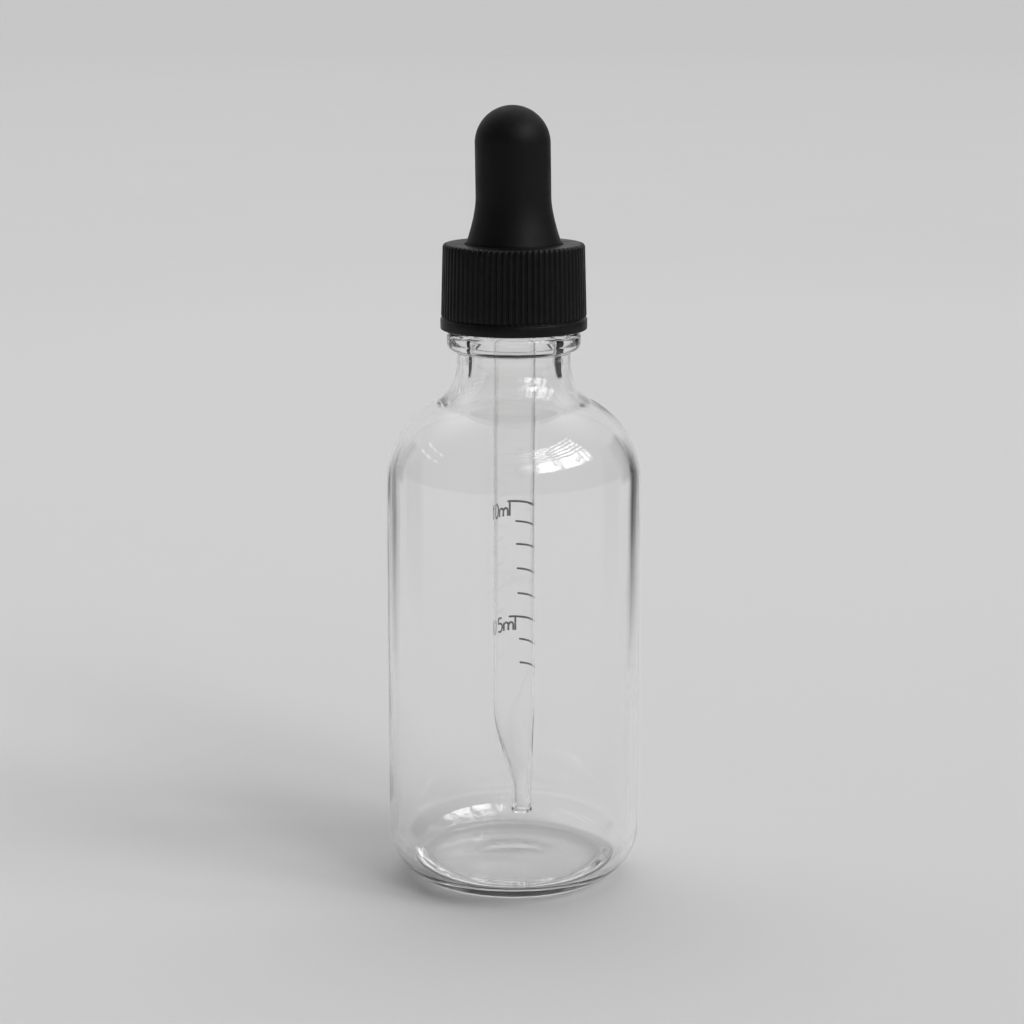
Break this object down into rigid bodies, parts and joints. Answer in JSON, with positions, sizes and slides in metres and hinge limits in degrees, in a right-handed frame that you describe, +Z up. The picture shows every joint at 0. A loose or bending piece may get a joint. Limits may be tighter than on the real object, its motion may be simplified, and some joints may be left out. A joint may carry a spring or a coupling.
{
  "type": "medicine dropper",
  "caption": "Round glass bottle with a ribbed screw cap that carries a rubber squeeze bulb and a glass pipette with a printed dose scale; the dropper unscrews and lifts out.",
  "frame": {"origin": "centre of the bottle's foot, on the surface it stands on", "axes": "+Z up along the bottle, +X to the right and +Y away from a viewer who sees the pipette's tip lean to the right"},
  "size_m": [0.0386, 0.0386, 0.1189],
  "materials": {
    "bottle_glass": "clear polished flint glass",
    "cap_plastic": "black moulded, satin ribs and band",
    "bulb_rubber": "black, matt moulded",
    "pipette_glass": "clear drawn tube, printed scale"
  },
  "bodies": {
    "bottle": {"bottle": "bottle_glass"},
    "pipette": {"pipette": "pipette_glass"},
    "cap": {"cap": "cap_plastic"},
    "bulb": {"bulb": "bulb_rubber"}
  },
  "joints": [
    {"name": "dropper_lift", "type": "slide", "parent": "bottle", "child": "pipette", "axis": [0, 0, 1], "range_m": [0, 0.08572]},
    {"name": "cap_turn", "type": "hinge", "parent": "pipette", "child": "cap", "pos_m": [0, 0, 0.09], "axis": [0, 0, 1], "range_deg": [0, 9720]},
    {"name": "bulb_squeeze", "type": "slide", "parent": "pipette", "child": "bulb", "axis": [1, 0, 0], "range_m": [0, 0.003], "stiffness_N_per_m": 2000, "deforming": ["bulb"]}
  ],
  "couplings": [
    {"joint": "cap_turn", "follows": "dropper_lift", "rad_per_m": 1979}
  ]
}
